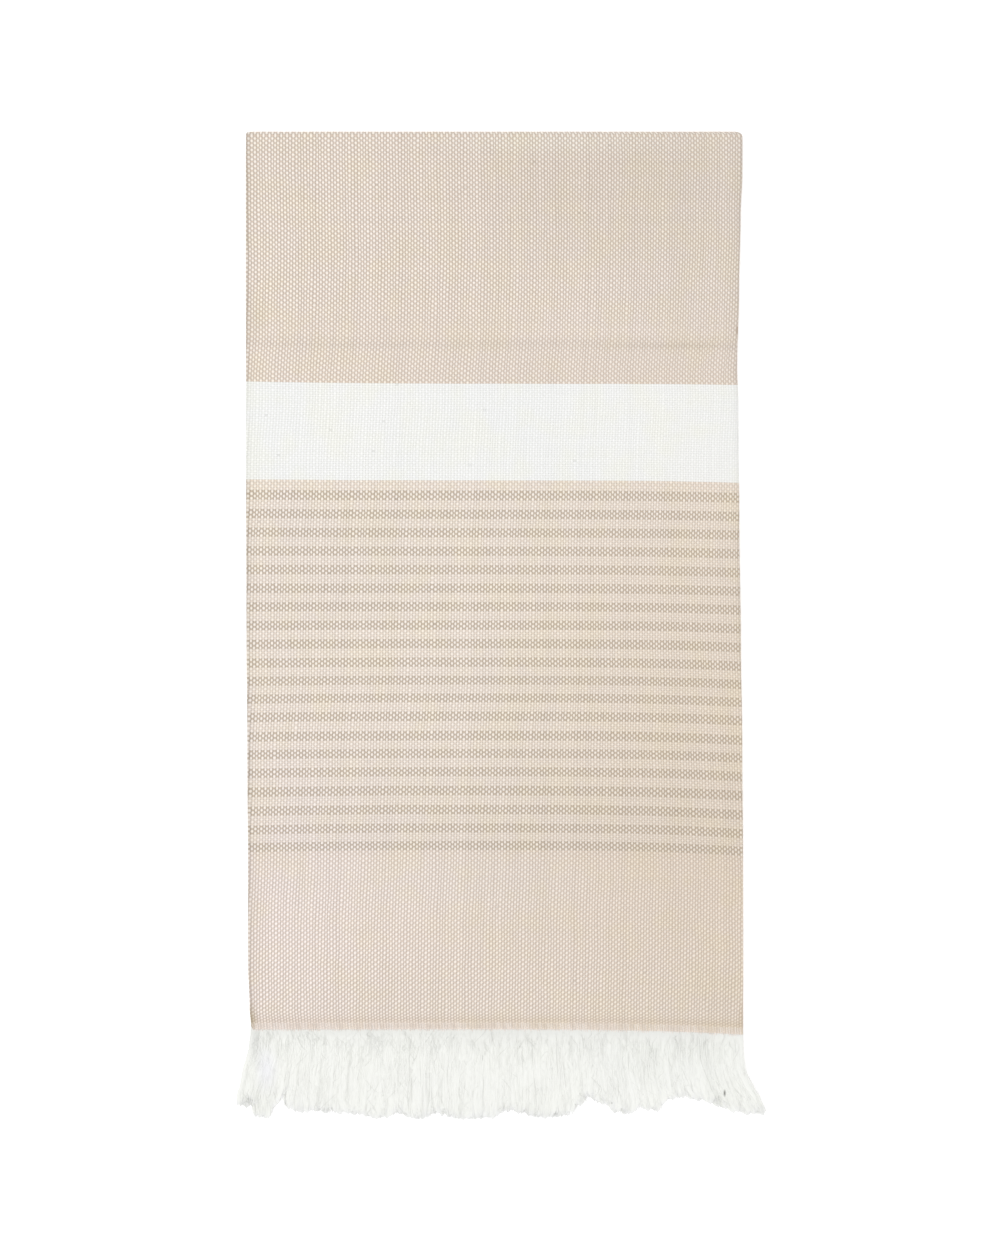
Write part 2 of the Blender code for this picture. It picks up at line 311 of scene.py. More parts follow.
finish = {
    "dyeShare": 0.84,
    "sharpFrom": 60,
    "sockets": {"Specular IOR Level": 0.15, "Sheen Roughness": 0.6},
}


def toLinear(level):
    level /= 255
    return level / 12.92 if level <= 0.04045 else ((level + 0.055) / 1.055) ** 2.4


def dye(*levels):  # a colour as the eye reads it under the studio light, as reflectance
    return (*(toLinear(level) * finish["dyeShare"] for level in levels), 1)


def newMaterial(name, roughness, sheen):
    material = bpy.data.materials.new(name)
    material.use_nodes = True
    shader = material.node_tree.nodes["Principled BSDF"]
    for socket, value in {"Roughness": roughness, "Sheen Weight": sheen, **finish["sockets"]}.items():
        shader.inputs[socket].default_value = value
    return material, shader, Wire(material.node_tree)


def addObject(name, data):
    made = bpy.data.objects.new(name, data)
    bpy.context.scene.collection.objects.link(made)
    return made


def addMesh(name, shaped, material):
    mesh = bpy.data.meshes.new(name)
    shaped.to_mesh(mesh)
    shaped.free()
    mesh.materials.append(material)
    return addObject(name, mesh)


def cover(material, shader, colour, height=None, depth=0, strength=0):
    links = material.node_tree.links
    links.new(colour.socket, shader.inputs["Base Color"])
    if height is not None:
        sockets = {"Height": height, "Distance": depth, "Strength": strength}
        bump = height.node("Bump", {}, sockets, "Normal")
        links.new(bump.socket, shader.inputs["Normal"])
    return material


# the woven cloth
weave = {
    "warpPitch": 0.001495,
    "crowding": (0.16, 0.05),  # how much closer the warp is at the selvedge, by the top fold and by the hem
    "crowdingFrom": 0.4,
    "crowdingEases": (0.22, 0.42),  # distance from the top fold
    "pickPitch": 0.0011698,
    "endDrift": (0.33, 0.035, 0.9),  # noise cells an end and a pick, then how many ends it wanders
    "pickDrift": (0.03, 0.4, 0.4),
    "warpCrimp": 0.8,
    "weftCrimp": 0.35,
    "yarnRound": 1.2,
    "warpHalf": 0.4,
    "warpUneven": 0.08,
    "weftHalf": 0.46,
    "warpLift": 0.15,
    "lean": (0.018, 0.048),  # how far the yarns slant where they cross, towards the fold and towards the hem
    "leanEases": (0.15, 0.23, 0.345, 0.435),
    "soft": 0.3,
    "bumpDepth": 0.00018,
    "bumpStrength": 0.8,
    "stripeEases": (-2, 6),  # picks round the last stripe
    "sewn": 0.0036,  # stitched edge of the hem
    "sewnEases": (-0.5, 0.7),
    "sewnOver": 0.55,  # share of the warp that the stitches cover
    "denser": 0.0092,  # the last picks are beaten closer
}
shade = {  # light and dark of the yarns, partly painted shade and light in the pits, the ribs, along the fold, the selvedge and the crease; a row of four is where it starts and ends, and from what to what
    # painted shade in the pits between the yarns, less in the pale band and at the cut edge
    "pit": 0.3,
    "palePit": 0.45,  # share of the pits that the pale band lacks
    "edgePit": 0.5,
    "paleUneven": 0.5,
    "crossing": 0.05,
    "end": 0.022,
    "pick": 0.025,
    "specks": 0.9994,
    "speckDark": 0.16,
    "rib": (0.05, 0.028),  # each end stands up as a faint rib, and each pick as a fainter one, shown by painted light and shade
    "ribFades": 0.45,  # towards the selvedge
    "ribBelow": 0.03,
    "ribPale": 0.6,
    "even": (0.13, 0.13, 0.08),  # contrast lost everywhere, towards the selvedge, and less so in the stripes
    "evenLight": 0.12,
    "evenAbove": (0.08, 0.105, 0, 0.11),
    "evenBelow": (0.375, 0.43, 0.21, 0.12),
    "evenDenser": 0.12,
    "evenWarp": 0.42,  # share of the warp in the even colour
    "evenLevel": (0.935, 0.03),
    # painted shade along the lengthwise fold and along the selvedge
    "foldEdge": (0.0075, 0, 0, 0.05),
    "foldLine": (0.0026, 0.0008, 0, 0.11),
    "selvedge": (0.006, 0, 0, 0.05),
    "selvedgeLine": (0.0018, 0.0003, 0, 0.07),
    "lastStripes": (0.29, 0.36, 0, 0.045),
    # painted shade along the storage crease
    "crease": (0.0045, 0, 0, 0.03),
    "denser": (0.995, 0.975, 0.945),
    "paleTones": 0.6,
    "patch": (0.985, 0.99, 0.998),
    "patchPer": 14.0,  # noise cells a metre
    "yellow": (1, 0.999, 0.962),
    "blue": (1, 1, 1.014),
    "huePer": 68.0,
    "paleHue": 0.3,
}
beatRows = (  # millimetres from the top fold, then picks by which the beat-up runs late there
    (0, 0), (120, 0.55), (174, 0.25), (186, 1), (270, 0.9), (292, 0.25), (299, 0.3),
    (306, 0.8), (315, 0.3), (324, 0.25), (343, 0.6), (352, 0.6), (361, 0.12), (441, 0),
    (444.2, -0.25), (446.3, -0.7), (447.8, -1.3), (449.3, -2.2), (450.8, -3.3), (454, -5.4),
)
grainRows = (  # millimetres from the top fold, then ends by which the warp has run off to the left
    (0, 0), (65, -0.43), (100, -0.1), (131, 0.9), (171, 2), (217, 2.93),
    (267, 3.4), (318, 4.75), (363, 5.63), (404, 6.5), (454, 7),
)
bands = {  # counted in picks from the top fold
    "paleStart": 108.5,
    "palePicks": 42,
    "gapPicks": 4,
    "stripes": 20,
    "stripePicks": 4,
}
dyes = {
    "warp": dye(254, 245, 234),
    "warpPale": dye(252, 252, 250),
    "beige": dye(220, 201, 184),
    "light": dye(234, 218, 202),
    "taupe": dye(203, 185, 165),
    "pale": dye(247, 247, 242),
    "hem": dye(238, 223, 208),
}
shadeAndToneTints = (  # broad tints of the cloth, painted light and shade among them beside its own uneven tone: middle x and y, reach across and down in millimetres, tint
    (52, 232, 130, 62, (0.948, 0.945, 0.935)),
    # painted shade, darker towards the right, and there the cloth is also yellower
    (135, 200, 150, 130, (0.96, 0.963, 0.965)),
    (135, -70, 190, 260, (0.938, 0.912, 0.864)),
    (120.5, 148.8, 1.6, 4.2, (0.72, 0.66, 0.6)),  # painted shadow in a pinch in the selvedge
    (-126.4, -200.5, 5, 13, (0.75, 0.72, 0.59)),  # the lower corners lie in shade
    (123.5, -198.5, 4.2, 12, (0.89, 0.86, 0.79)),
    # painted light, brighter towards the left
    (-130, -150, 130, 130, (1.056, 1.055, 1.105)),
    (-130, 150, 130, 170, (1.033, 1.031, 1.027)),
    (111, -201.5, 34, 6.5, (0.985, 0.984, 0.955)),
    (30, 244, 90, 9, (1.03, 1.055, 1.055)),
    (-20, -130, 140, 22, (1, 1.012, 1.03)),
    # painted shade along the lengthwise fold on the left
    (-124, -150, 10, 75, (0.965, 0.965, 0.95)),
    (-123, 156, 10, 18, (0.955, 0.958, 0.93)),
    (110, -188, 18, 24, (0.97, 0.968, 0.95)),
    (-55, -185, 50, 20, (0.974, 0.976, 0.972)),
    (46, 157, 90, 28, (1.013, 1.015, 1.024)),  # painted highlight, brighter just above the storage crease
    (60, 149.2, 90, 6.5, (1.018, 1.018, 1.022)),
    (90, 141.2, 48, 2.8, (0.95, 0.945, 0.932)),  # and painted shade, the crease deeper towards the selvedge
    (15, 143.2, 70, 2, (0.98, 0.98, 0.985)),
    (-105.5, 0, 20, 300, (1.004, 1.006, 1.014)),
)


def warpCount(across, along):  # number of warp ends from the lengthwise fold
    share = min(abs(across) / halfWidth, 1)
    start, stop = weave["crowdingEases"]
    near, far = weave["crowding"]
    crowding = near + (far - near) * ease((abs(along) - start) / (stop - start))
    share += crowding * max(share - weave["crowdingFrom"], 0) ** 2 / (1 - weave["crowdingFrom"]) / 2
    return math.copysign(share * halfWidth / weave["warpPitch"], across)


def pickCount(along):  # number of picks from the crosswise fold
    late = readBetween(beatRows, abs(along) * 1000, 1)
    return math.copysign(abs(along) / weave["pickPitch"] - late, along)


def layTones(place, colour, rows, share):  # soft round tints, each at its own place
    for x, y, wide, tall, tint in rows:
        centred = {"Vector": place, "Location": (-x / wide, -y / tall, 0)}
        away = place.node("Mapping", {}, {**centred, "Scale": (1000 / wide, 1000 / tall, 0)})
        away = place.node("VectorMath", {"operation": "LENGTH"}, {0: away}, "Value")
        colour = (away.remap(1, 0) * share).tinted(colour, tint)
    return colour


def wovenCotton():
    material, shader, start = newMaterial("woven_cotton", 0.88, 0.25)
    yarns = start.node("UVMap", {"uv_map": "yarns"})
    place = start.node("TexCoord", out="Object")
    plainEnds, plainPicks = yarns.part("X"), yarns.part("Y")
    fromSide, fromTop = abs(plainEnds), abs(plainPicks)

    # the cloth is folded a little off the grain, and each end and pick wanders
    ends = plainEnds + start.attribute("offGrain", "Fac")
    perEnd, perPick, wander = weave["endDrift"]
    endDrift = start.noise(start.vector(ends * perEnd, plainPicks * perPick, 1), 1)
    ends = ends + (endDrift - 0.5) * wander
    perEnd, perPick, wander = weave["pickDrift"]
    pickDrift = start.noise(start.vector(plainEnds * perEnd, plainPicks * perPick, 7.0), 1)
    picks = plainPicks + (pickDrift - 0.5) * wander
    endNumber, pickNumber = ends.round(), picks.round()
    endChance = start.chance(start.vector(endNumber, 3.0, 0))
    pickChance = start.chance(start.vector(5.0, pickNumber, 0))
    floatChance = start.chance(start.vector(endNumber, pickNumber, 9.0))

    # weft colours by pick, the same from both ends of the cloth
    fromFold = abs(pickNumber)
    repeat = 2 * bands["stripePicks"]
    paleEnd = bands["paleStart"] + bands["palePicks"]
    stripeStart = paleEnd + bands["gapPicks"]
    stripeEnd = stripeStart + repeat * bands["stripes"] - bands["stripePicks"]
    isPale = (fromFold > bands["paleStart"]) * (fromFold < paleEnd)
    isStriped = (fromFold > paleEnd) * (fromFold < stripeEnd)
    inRepeat = start.math("MODULO", fromFold - stripeStart + 2 * repeat, repeat)
    isTaupe = (fromFold > stripeStart) * isStriped * (inRepeat < bands["stripePicks"])
    isLight = isStriped - isTaupe
    belowStripes = fromFold.remap(*(stripeEnd + more for more in weave["stripeEases"]))
    sewnStart = pickCount(halfLength - weave["sewn"])
    isDenser = fromTop.remap(pickCount(halfLength - weave["denser"]), sewnStart)
    isHem = fromTop.remap(*(sewnStart + more for more in weave["sewnEases"]))
    weft = isStriped.blend(dyes["beige"], dyes["light"])
    weft = isTaupe.blend(weft, dyes["taupe"])
    weft = isPale.blend(weft, dyes["pale"])
    weft = isHem.blend(weft, dyes["hem"])
    warp = isPale.blend(dyes["warp"], dyes["warpPale"])

    # plain weave: each end and pick is a round yarn that rises and dips in turn
    down = fromTop * weave["pickPitch"]
    near, far = weave["lean"]
    eases = weave["leanEases"]
    lean = down.remap(*eases[:2], -near, 0) + down.remap(*eases[2:], 0, far)
    endShift = (picks + endNumber).sine() * lean
    pickShift = (ends + pickNumber).sine() * lean
    warpHalf = weave["warpHalf"] * (1 + (endChance - 0.5) * weave["warpUneven"])
    endSide = (ends - endNumber + endShift) / warpHalf
    pickSide = (picks - pickNumber - pickShift) / weave["weftHalf"]
    endTop = (picks + endNumber).cosine() * weave["warpCrimp"] + weave["warpLift"]
    endTop = endTop + (1 - endSide * endSide) * weave["yarnRound"]
    pickTop = (ends + pickNumber).cosine() * -weave["weftCrimp"]
    pickTop = pickTop + (1 - pickSide * pickSide) * weave["yarnRound"]
    isEdge = start.attribute("cutEdge", "Fac")
    warpShows = (endTop - pickTop).remap(-weave["soft"], weave["soft"])
    warpShows = warpShows * (1 - isHem * weave["sewnOver"]) * (1 - isEdge)
    surface = start.math("MAXIMUM", endTop - isEdge * 4, pickTop)
    crown = weave["warpCrimp"] + weave["warpLift"] + weave["yarnRound"]
    depth = (crown - surface) / crown

    # the contrast of yarn and pit fades towards the selvedge, above the band and below the stripes
    lastEnd = warpCount(halfWidth, 0)
    rightness = fromSide * (1 / lastEnd)
    everywhere, right, striped = shade["even"]
    evening = rightness * (right - isStriped * striped) + isLight * shade["evenLight"] + everywhere
    evening = evening + down.remap(*shade["evenAbove"]) * (1 - isStriped) * (1 - belowStripes)
    evening = evening + belowStripes * down.remap(*shade["evenBelow"]) + isDenser * shade["evenDenser"]
    # painted shade in the pits between the yarns, deeper pits darker
    pitShade = shade["pit"] * (1 - isPale * shade["palePit"] - isEdge * shade["edgePit"])
    uneven = (endChance - 0.5) * shade["end"] + (pickChance - 0.5) * shade["pick"]
    uneven = uneven + (floatChance - 0.5) * shade["crossing"]
    # painted light and shade along the ribs of the ends and picks
    endRib, pickRib = shade["rib"]
    endRib = (1 - rightness * shade["ribFades"]) * endRib + belowStripes * shade["ribBelow"]
    ribShading = (ends * 2).cosine() * endRib + (picks * 2).cosine() * pickRib
    lightness = 1 - depth * pitShade + uneven * (1 - isPale * shade["paleUneven"])
    lightness = lightness - (floatChance > shade["specks"]) * shade["speckDark"]
    lightness = lightness + ribShading * (1 - isPale * shade["ribPale"])
    level, paleMore = shade["evenLevel"]
    average = (isPale * paleMore + level).scaled(start.mixed(shade["evenWarp"], weft, warp))
    woven = evening.blend(lightness.scaled(warpShows.blend(weft, warp)), average)

    # painted shade darkens the cloth along the fold and the selvedge; it is yellower where the picks are
    # denser
    fromFoldEdge = fromSide * weave["warpPitch"]
    fromSelvedge = (lastEnd - fromSide) * weave["warpPitch"]
    shaded = fromFoldEdge.remap(*shade["foldEdge"]) + fromFoldEdge.remap(*shade["foldLine"])
    shaded = shaded + fromSelvedge.remap(*shade["selvedge"]) + fromSelvedge.remap(*shade["selvedgeLine"])
    woven = (1 - shaded * (1 - isPale * shade["paleUneven"])).scaled(woven)
    woven = (isDenser * (1 - isHem)).tinted(woven, shade["denser"])

    # the last stripes are a little darker; then painted shade in the storage crease, broad tints with
    # painted light and shade among them, and patches
    woven = (1 - isStriped * down.remap(*shade["lastStripes"])).scaled(woven)
    woven = (1 - abs(down - shape["creaseDown"]).remap(*shade["crease"])).scaled(woven)
    woven = layTones(place, woven, shadeAndToneTints, 1 - isPale * shade["paleTones"])
    patches = start.noise(place, shade["patchPer"], 3.0).remap(0.3, 0.7)
    woven = patches.tinted(woven, shade["patch"])
    yellow = start.noise(place, shade["huePer"]).remap(0.4, 0.7)
    woven = (yellow * (1 - isPale * shade["paleHue"])).tinted(woven, shade["yellow"])
    woven = (1 - yellow).tinted(woven, shade["blue"])
    return cover(material, shader, woven, surface, weave["bumpDepth"], weave["bumpStrength"])


def evenLines(start, end, step):
    count = max(round((end - start) / step), 1)
    return [start + (end - start) * i / count for i in range(count + 1)]


def meshLines(half, fold, steps, shownStep, extra):
    # lines from one cut edge of the cloth over its fold to the other, closer where the cloth shows
    reach = foldReach(*fold)
    edge = half - rim[-1]
    lines = evenLines(-edge, -reach, cloth["coarse"]) + evenLines(reach, edge, shownStep)
    lines += [reach * (2 * i / steps - 1) for i in range(steps + 1)]
    lines += [side * (half - inset) for side in (-1, 1) for inset in rim]
    kept = []
    for line in sorted(lines + extra):
        if not kept or line - kept[-1] > cloth["leastStep"]:
            kept.append(line)
    return kept


def flatCloth():
    hemLine = halfLength - cloth["hem"]
    crease = shape["creaseDown"] + alongFromDown
    extra = [hemLine, hemLine + shape["hemStep"], -hemLine, -hemLine - shape["hemStep"]]
    extra += [halfLength - cloth["fineHem"] * i for i in range(1, 11)]
    extra += [side * (crease + cloth["finest"] * i) for side in (-1, 1) for i in range(-5, 11)]
    besideFold = [sideReach + cloth["finest"] * i for i in range(1, 9)]
    acrossLines = meshLines(halfWidth, sideFold, cloth["sideFoldSteps"], cloth["fineAcross"], besideFold)
    alongLines = meshLines(halfLength, topFold, cloth["topFoldSteps"], cloth["fineAlong"], extra)
    sheet = bmesh.new()
    columns, rows = len(acrossLines) - 1, len(alongLines) - 1
    bmesh.ops.create_grid(sheet, x_segments=columns, y_segments=rows, size=0.5)
    for vert in sheet.verts:
        vert.co.x = acrossLines[round((vert.co.x + 0.5) * columns)]
        vert.co.y = alongLines[round((vert.co.y + 0.5) * rows)]
    bmesh.ops.solidify(sheet, geom=sheet.faces[:], thickness=cloth["thick"])
    lowest = min(vert.co.z for vert in sheet.verts)
    bmesh.ops.translate(sheet, vec=(0, 0, -lowest), verts=sheet.verts)
    bmesh.ops.recalc_face_normals(sheet, faces=sheet.faces[:])
    return sheet


bakeMap = {  # where each panel lies on the map for baked colours, as shares of it
    "shown": (0.002, 0.002, 0.554, 0.996),  # left, low, wide, tall
    "hidden": (0.566, 0.004, 0.205, 0.23),
    "hiddenStep": (0.213, 0.236),
    "hiddenColumns": 2,
    "cutEdges": (0.566, 0.952, 0.418, 0.008),
    "cutEdgeStep": 0.012,
    "onEdge": 1e-6,
}


def addBakeMap(sheet):
    # the panel that shows gets most of the map, the seven hidden ones and the cut edges share the rest
    places = sheet.loops.layers.uv.new("OFBake")
    for face in sheet.faces:
        middle = face.calc_center_median()
        isOuter, isUpper, isFace = middle.x > 0, middle.y > 0, middle.z < cloth["thick"] / 2
        isSelvedge = halfWidth - abs(middle.x) < bakeMap["onEdge"]
        if isSelvedge or halfLength - abs(middle.y) < bakeMap["onEdge"]:
            left, low, wide, tall = bakeMap["cutEdges"]
            low += bakeMap["cutEdgeStep"] * (2 * isSelvedge + (isOuter if isSelvedge else isUpper))
            for loop in face.loops:
                flat = loop.vert.co
                share = flat.y / halfLength if isSelvedge else flat.x / halfWidth
                loop[places].uv = (left + wide * (share + 1) / 2, low + tall * flat.z / cloth["thick"])
            continue
        if isOuter and isUpper and isFace:
            left, low, wide, tall = bakeMap["shown"]
        else:
            row, column = divmod(isOuter * 4 + isUpper * 2 + isFace, bakeMap["hiddenColumns"])
            left, low, wide, tall = bakeMap["hidden"]
            left += bakeMap["hiddenStep"][0] * column
            low += bakeMap["hiddenStep"][1] * row
        for loop in face.loops:
            flat = loop.vert.co
            loop[places].uv = (left + wide * abs(flat.x) / halfWidth, low + tall * abs(flat.y) / halfLength)


def addYarns(sheet):  # counts of ends and picks, how far off the grain, and where the weft turns back
    yarns = sheet.loops.layers.uv.new("yarns")
    offGrain = sheet.verts.layers.float.new("offGrain")
    cutEdge = sheet.verts.layers.float.new("cutEdge")
    for vert in sheet.verts:
        vert[offGrain] = readBetween(grainRows, abs(vert.co.y) * 1000, 1)
        vert[cutEdge] = 1.0 if halfWidth - abs(vert.co.x) < rim[1] / 2 else 0.0
        for loop in vert.link_loops:
            loop[yarns].uv = (warpCount(vert.co.x, vert.co.y), pickCount(vert.co.y))


def thinEdges(sheet):
    middle = cloth["thick"] / 2
    for vert in sheet.verts:
        inset = min(halfWidth - abs(vert.co.x), halfLength - abs(vert.co.y))
        thin = 1 - cloth["thinEdge"] * math.exp(-((inset / cloth["thinReach"]) ** 2))
        vert.co.z = middle + (vert.co.z - middle) * thin


def finishPiece(name, sheet, material):
    piece = addMesh(name, sheet, material)
    mesh = piece.data
    mesh.shade_smooth()
    mesh.set_sharp_from_angle(angle=math.radians(finish["sharpFrom"]))
    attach(piece, "root")
    print(f"{name}: {sum(len(face.vertices) - 2 for face in mesh.polygons)} triangles")
    return piece


def makeCloth():
    sheet = flatCloth()
    addYarns(sheet)
    addBakeMap(sheet)
    thinEdges(sheet)
    for vert in sheet.verts:
        vert.co = lie(*vert.co)
    piece = finishPiece("cloth_sheet", sheet, wovenCotton())
    piece.data.uv_layers["yarns"].active = True
    piece.data.uv_layers["yarns"].active_render = True
    return piece


# threads and locks grow ring by ring along their paths
threadRound = ((-1, -1), (1, -1), (0, 1))  # a triangle with its ridge up
lumpPer = (0.93, 5.37, 0.31, 1.71)  # noise cells a corner, a lock, a ring, and a lock in depth


def drawThreads(name, paths, material, outline=threadRound, lumps=0):
    # a path is a list of (middle, half width, half height, roll), as long as every other path
    threads = bmesh.new()
    number = threads.faces.layers.int.new("thread")
    course = threads.verts.layers.float_vector.new("course")
    corners, steps = len(outline), len(paths[0])
    perCorner, perLock, perRing, perDepth = lumpPer

    def ringAt(thread, step):
        path = paths[thread - 1]
        middle, wide, high, roll = path[step]
        ahead = path[min(step + 1, len(path) - 1)][0] - path[max(step - 1, 0)][0]
        ahead.normalize()
        side = ahead.cross(Vector((0, 0, 1)))
        side.normalize()
        up = side.cross(ahead)
        across = side * math.cos(roll) + up * math.sin(roll)
        rise = up * math.cos(roll) - side * math.sin(roll)
        ring = []
        for i, (out, over) in enumerate(outline):
            if lumps:
                cell = (i * perCorner + thread * perLock, step * perRing, thread * perDepth)
                over *= 1 + lumps * noise.noise(cell)
            ring.append(middle + across * (out * wide) + rise * (over * high))
        return ring

    def place(face, thread, step):
        for vert, corner, (out, _) in zip(face.verts, ringAt(thread, step), outline):
            vert.co = corner
            vert[course] = (thread, step / (steps - 1), out)

    for i in range(len(paths)):
        made = bmesh.ops.create_circle(threads, cap_ends=True, segments=corners, radius=1)
        face = made["verts"][0].link_faces[0]
        face[number] = i + 1
        place(face, i + 1, 0)
    tips = threads.faces[:]
    for step in range(1, steps):
        tips = bmesh.ops.extrude_discrete_faces(threads, faces=tips)["faces"]
        for face in tips:
            place(face, face[number], step)
    bmesh.ops.holes_fill(threads, edges=[edge for edge in threads.edges if edge.is_boundary], sides=corners)
    bmesh.ops.recalc_face_normals(threads, faces=threads.faces[:])
    return finishPiece(name, threads, material)


# the overlocked hems
stitch = {
    "pitch": 0.0011,
    "depth": 0.0033,
    "uneven": 0.00045,
    "slant": 0.00045,
    "radius": 0.00023,
    "proud": 0.00007,
    "over": (0.0002, 0.0015),  # how far the loops reach past the edge
}


def makeStitches():
    chance = random.Random(21)
    count = int(cloth["width"] / stitch["pitch"]) - 1
    paths = []
    for end in (-1, 1):
        for i in range(count):
            across = -halfWidth + stitch["pitch"] * (i + 1) + chance.uniform(-0.1, 0.1) * stitch["pitch"]
            depth = stitch["depth"] + chance.uniform(-1, 1) * stitch["uneven"]
            over = chance.uniform(*stitch["over"])
            outside, inside = -stitch["proud"], cloth["thick"] + stitch["proud"]
            route = (  # share of the slant, distance inside the edge, height through the cloth
                (0, depth, 0.5 * cloth["thick"]),
                (0, depth - 0.0001, outside + 0.0001),
                (0.25, depth * 0.75, outside),
                (0.65, depth * 0.32, outside),
                (1, -over * 0.6, outside + 0.0003),
                (1.2, -over, 0.5 * cloth["thick"]),
                (1, -over * 0.6, inside - 0.0003),
                (0.5, depth * 0.45, inside),
                (0.1, depth * 0.9, inside - 0.0001),
            )
            path = []
            for share, inset, height in route:
                middle = lie(across + share * stitch["slant"], end * (halfLength - inset), height)
                middle.z = max(middle.z, stitch["radius"])
                path.append((middle, stitch["radius"], stitch["radius"], 0))
            paths.append(path)
    material, shader, start = newMaterial("hem_thread", 0.8, 0.2)
    place = start.node("TexCoord", out="Object")
    course = start.attribute("course", "Vector")
    loopChance = start.chance(start.vector(course.part("X").round(), 1, 0))
    tone = loopChance * 0.7 + start.noise(place, 260.0) * 0.3
    colour = tone.remap(0.1, 0.9).blend(dye(228, 213, 199), dye(254, 248, 243))
    colour = (course.part("Y").remap(0.25, 0.6) * 0.7).blend(colour, dye(251, 240, 235))
    piece = drawThreads("hem_stitches", paths, cover(material, shader, colour))
    return piece


# the fringes: matted locks, with looser threads and short fibres over them
fringe = {
    "clear": 0.6,  # share of the lengthwise fold's bend that has no roots
    "pitch": 0.0015,  # warp ends along the hem
    "spread": 0.0006,  # the plies of one end, at the hem
    "rings": 12,
    "halfWide": (0.00011, 0.00032),  # a ply is a flat strand of fibres
    "halfHigh": (0.00005, 0.00009),
    "roll": 0.25,
    "tipWide": 0.45,
    "tipFrom": 0.8,
    "tucked": 0.0012,  # starts inside the hem
    "layers": (0.2, 0.44),  # height through the cloth, from its outer face
    "underLayers": (0.6, 0.8),
    "under": 0.2,  # share of plies below the locks
    "rootLayer": 0.56,  # roots come out of the locks
    "rootRise": 5,
    "dive": 0.12,
    "dives": (0.8, 2.2),
    "loosen": 0.001,
    "wander": 0.0026,
    "curl": 0.0005,
    "curls": (0.9, 2.4),  # waves along a thread
    "curlShare": (0.3, 1),
    "shorts": 0.35,  # share of plies that surface part of the way down, and where
    "surfacing": (0.05, 0.5),
    "shortened": 0.01,
    "tuftsOver": (0.004, 0.006),  # how far they reach past the panel at the left and right
    "tuftMiss": 0.0022,
    "tuftPitch": (0.005, 0.013),
    "tuftPull": (0.03, 0.22),
    "tuftLength": (-0.0009, 0.0009),
    "uneven": 0.0012,
    "fanned": 0.04,  # distance below the hem at which a tip's place tells its length
    "inset": 0.0003,  # how far the outermost threads keep inside the edges
}
locks = {
    "pitch": 0.0016,
    "spread": 0.001,
    "halfWide": (0.0018, 0.0036),
    "halfHigh": (0.00017, 0.00024),
    "inset": 0.001,
    "rootWide": 0.8,
    "corners": 16,
    "rings": 14,
    "lumps": 0.25,  # grooves between the fibres, as a share of the half height
    "layers": (0.53, 0.59),
    "sway": (0.05, 7.0),  # how far it rises and sinks, and how often
    "wander": 0.0018,
    "bend": (0.0008, 5.0),
    "tuftShare": 0.6,
    "roll": 0.1,
    "closer": 0.35,  # rings stand closer towards the tip
    "tipFlat": 0.35,
    "roundTip": 0.16,  # share of the length over which a tip rounds off
    "uneven": 0.0008,
}
fibres = {
    "count": 3400,
    "thinning": 1.25,  # fewer of them towards the selvedges
    "rings": 7,
    "length": (0.003, 0.014),
    "halfWide": (0.00006, 0.00014),
    "halfHigh": 0.00005,
    "layers": (0.14, 0.36),
    "sunk": 0.2,  # both ends go back into the locks
    "slant": 0.42,
    "slantFrom": 0.3,
    "tipWide": 0.35,
    "inset": 0.0002,
    "curl": (0.0002, 0.0009),
    "curls": (0.6, 1.8),
}
lengthRows = inMetres(  # distance of a tip from the panel's left edge, then the length of the fringe there
    (-6, 38.8), (-4, 39.4), (0.2, 36.6), (2.6, 38), (4.6, 45.2),
    (8.2, 45.8), (10.4, 42.4), (14, 32.2), (17.2, 32.2), (20.6, 40.8),
    (26, 43.2), (31, 41.5), (46, 42.6), (56, 43), (66, 45.6),
    (76, 42.5), (86.5, 46), (96.5, 43), (107, 45.5), (122, 45.5),
    (132, 41.5), (152, 45.5), (162, 44.5), (167.5, 39.4), (172.5, 34.2),
    (182.5, 39.4), (192.5, 43.4), (200, 40), (207.5, 41.2), (213, 35.4),
    (223, 33.8), (233, 35.2), (243, 38.8), (253, 41.4), (261, 40.2),
)
brushedShadeAndTone = (  # as for the cloth: greyer patches, painted shadow along the left of the roots, a mauve patch of painted shade, and two flecks
    (85, -218, 90, 24, (0.968, 0.97, 0.972)),
    (-105, -213.5, 34, 15, (1.03, 1.031, 1.03)),
    (5, -209, 40, 7, (0.975, 0.973, 0.975)),
    (85, -208, 60, 5, (0.982, 0.977, 0.984)),
    (-108, -228, 28, 14, (1.012, 1.01, 1.012)),
    # painted shadow along the left edge of the roots, then a mauve patch of painted shade
    (-124.2, -213, 6.2, 14, (0.915, 0.915, 0.925)),
    (-118.1, -225, 8, 16, (0.985, 0.98, 1.04)),
    (114, -237.2, 0.9, 2.6, (0.25, 0.25, 0.24)),
    (56.8, -242.2, 0.8, 0.9, (0.66, 0.66, 0.65)),
)
partings = inMetres(  # slits: distance from the left edge, where below the hem each opens and closes, width
    (8.5, 1, 12, 0.4), (24.5, 3, 14, 0.5), (50, 1, 17, 0.6), (108.5, 6, 18, 0.5), (222.5, 6, 20, 0.7),
)
partingEases = (0.004, 0.006, 0.0016)  # how softly a slit opens, closes and fades to its sides


def lengthAt(fromFold):
    share = min(max(fromFold / panelWidth, 0), 1)
    return readBetween(lengthRows, fromFold + fanOut(share, fringe["fanned"]), 1)


